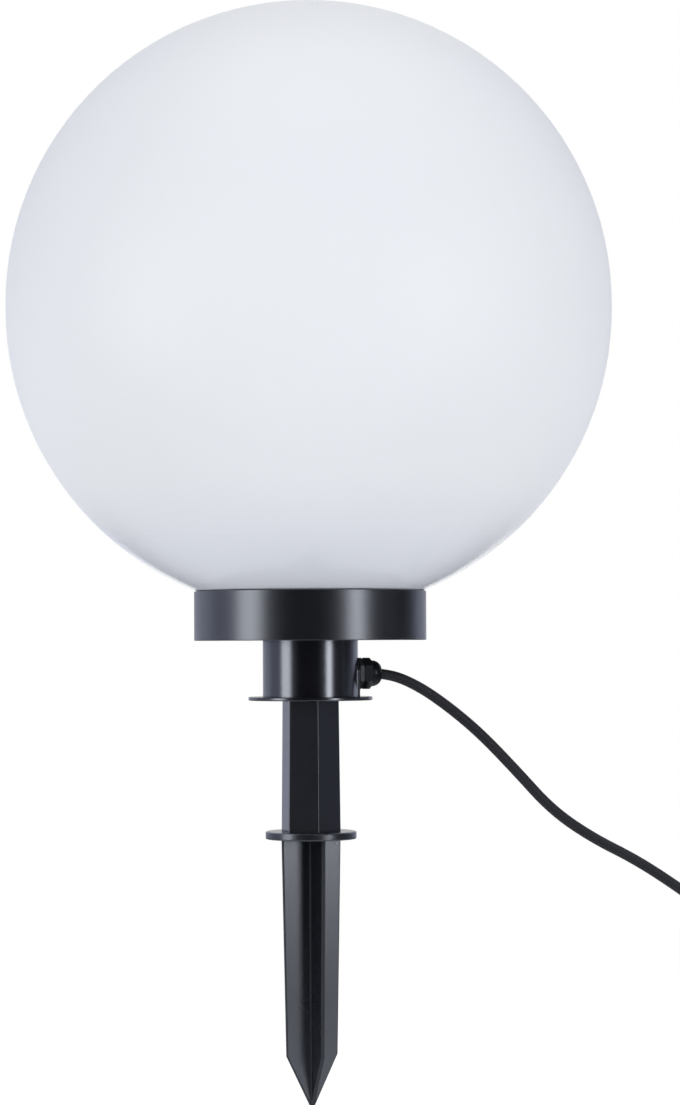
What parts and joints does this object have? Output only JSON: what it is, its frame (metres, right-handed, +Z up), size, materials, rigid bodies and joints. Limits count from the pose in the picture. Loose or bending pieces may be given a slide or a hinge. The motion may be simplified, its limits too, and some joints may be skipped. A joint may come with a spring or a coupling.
{
  "type": "garden spike light",
  "caption": "Opal ball lamp on a black collar and six-sided post, pushed into the soil by a cross-bladed spike, with a rubber lead from a cable gland and a mains plug.",
  "frame": {"origin": "on the lamp's axis at the underside of the spike's flange, where the soil's surface is", "axes": "+Z up along the lamp's axis, -Y to the side that the picture shows, +X to the side the lead leaves"},
  "size_m": [0.6711, 0.4, 0.7279],
  "materials": {
    "opal_globe": "satin opal white plastic",
    "black_plastic": "satin black moulded plastic",
    "gland_plastic": "black plastic, lightly textured",
    "seal_rubber": "black soft rubber",
    "cord_rubber": "matt black rubber sheath",
    "plug_rubber": "matt black moulded rubber",
    "tie_plastic": "black strap",
    "holder_plastic": "black moulded thermoset",
    "steel": "zinc-plated steel",
    "brass": "plain brass",
    "nickel": "nickel plate",
    "wire_brown": "brown insulation",
    "wire_blue": "blue insulation",
    "bulb_opal": "opal plastic dome",
    "bulb_white": "white plastic",
    "bulb_insulator": "black glassy insulator",
    "board_metal": "white-coated metal board"
  },
  "bodies": {
    "spike": {"ground_spike": "black_plastic"},
    "post": {"extension_post": "black_plastic"},
    "head": {"base_housing": "black_plastic", "gland_washer": "seal_rubber", "gland_body": "gland_plastic", "gland_locknut": "gland_plastic", "gland_bush": "seal_rubber", "holder_bracket": "steel", "bracket_screws": "steel", "holder_nipple": "steel", "nipple_nut": "steel", "holder_body": "holder_plastic", "holder_shell": "brass", "centre_contact": "brass", "holder_terminals": "brass", "wire_live": "wire_brown", "wire_neutral": "wire_blue", "cord_inner": "cord_rubber", "cord_lead": "cord_rubber", "cord_coil": "cord_rubber", "cord_tie": "tie_plastic", "cord_tail": "cord_rubber", "plug_body": "plug_rubber", "plug_pins": "nickel"},
    "seal": {"neck_seal": "seal_rubber"},
    "globe": {"globe": "opal_globe"},
    "claw": {"gland_claw": "gland_plastic"},
    "cap": {"gland_cap": "gland_plastic"},
    "bulb_dome": {"bulb_dome": "bulb_opal"},
    "bulb": {"bulb_housing": "bulb_white", "bulb_board": "board_metal", "bulb_cap": "nickel", "bulb_insulator": "bulb_insulator", "bulb_contact": "brass"}
  },
  "joints": [
    {"name": "post_lift", "type": "slide", "parent": "spike", "child": "post", "axis": [0, 0, 1], "range_m": [0, 0.036]},
    {"name": "head_lift", "type": "slide", "parent": "post", "child": "head", "axis": [0, 0, 1], "range_m": [0, 0.026]},
    {"name": "globe_rise", "type": "slide", "parent": "head", "child": "seal", "axis": [0, 0, 1], "range_m": [0, 0.004]},
    {"name": "globe_turn", "type": "hinge", "parent": "seal", "child": "globe", "pos_m": [0, 0, 0.15], "axis": [0, 0, 1], "range_deg": [0, 60]},
    {"name": "bulb_rise", "type": "slide", "parent": "head", "child": "bulb_dome", "axis": [0, 0, 1], "range_m": [0, 0.01996]},
    {"name": "bulb_turn", "type": "hinge", "parent": "bulb_dome", "child": "bulb", "pos_m": [0, 0, 0.18], "axis": [0, 0, 1], "range_deg": [0, 1980]},
    {"name": "cap_run", "type": "slide", "parent": "head", "child": "claw", "axis": [0.9703, 0.2419, 0], "range_m": [0, 0.003]},
    {"name": "cap_turn", "type": "hinge", "parent": "claw", "child": "cap", "pos_m": [0.03881, 0.00968, 0.1087], "axis": [0.9703, 0.2419, 0], "range_deg": [0, 720]}
  ],
  "couplings": [
    {"joint": "globe_rise", "follows": "globe_turn", "m_per_rad": 0.0038197},
    {"joint": "bulb_rise", "follows": "bulb_turn", "m_per_rad": 0.00057757},
    {"joint": "cap_run", "follows": "cap_turn", "m_per_rad": 0.00023873}
  ]
}
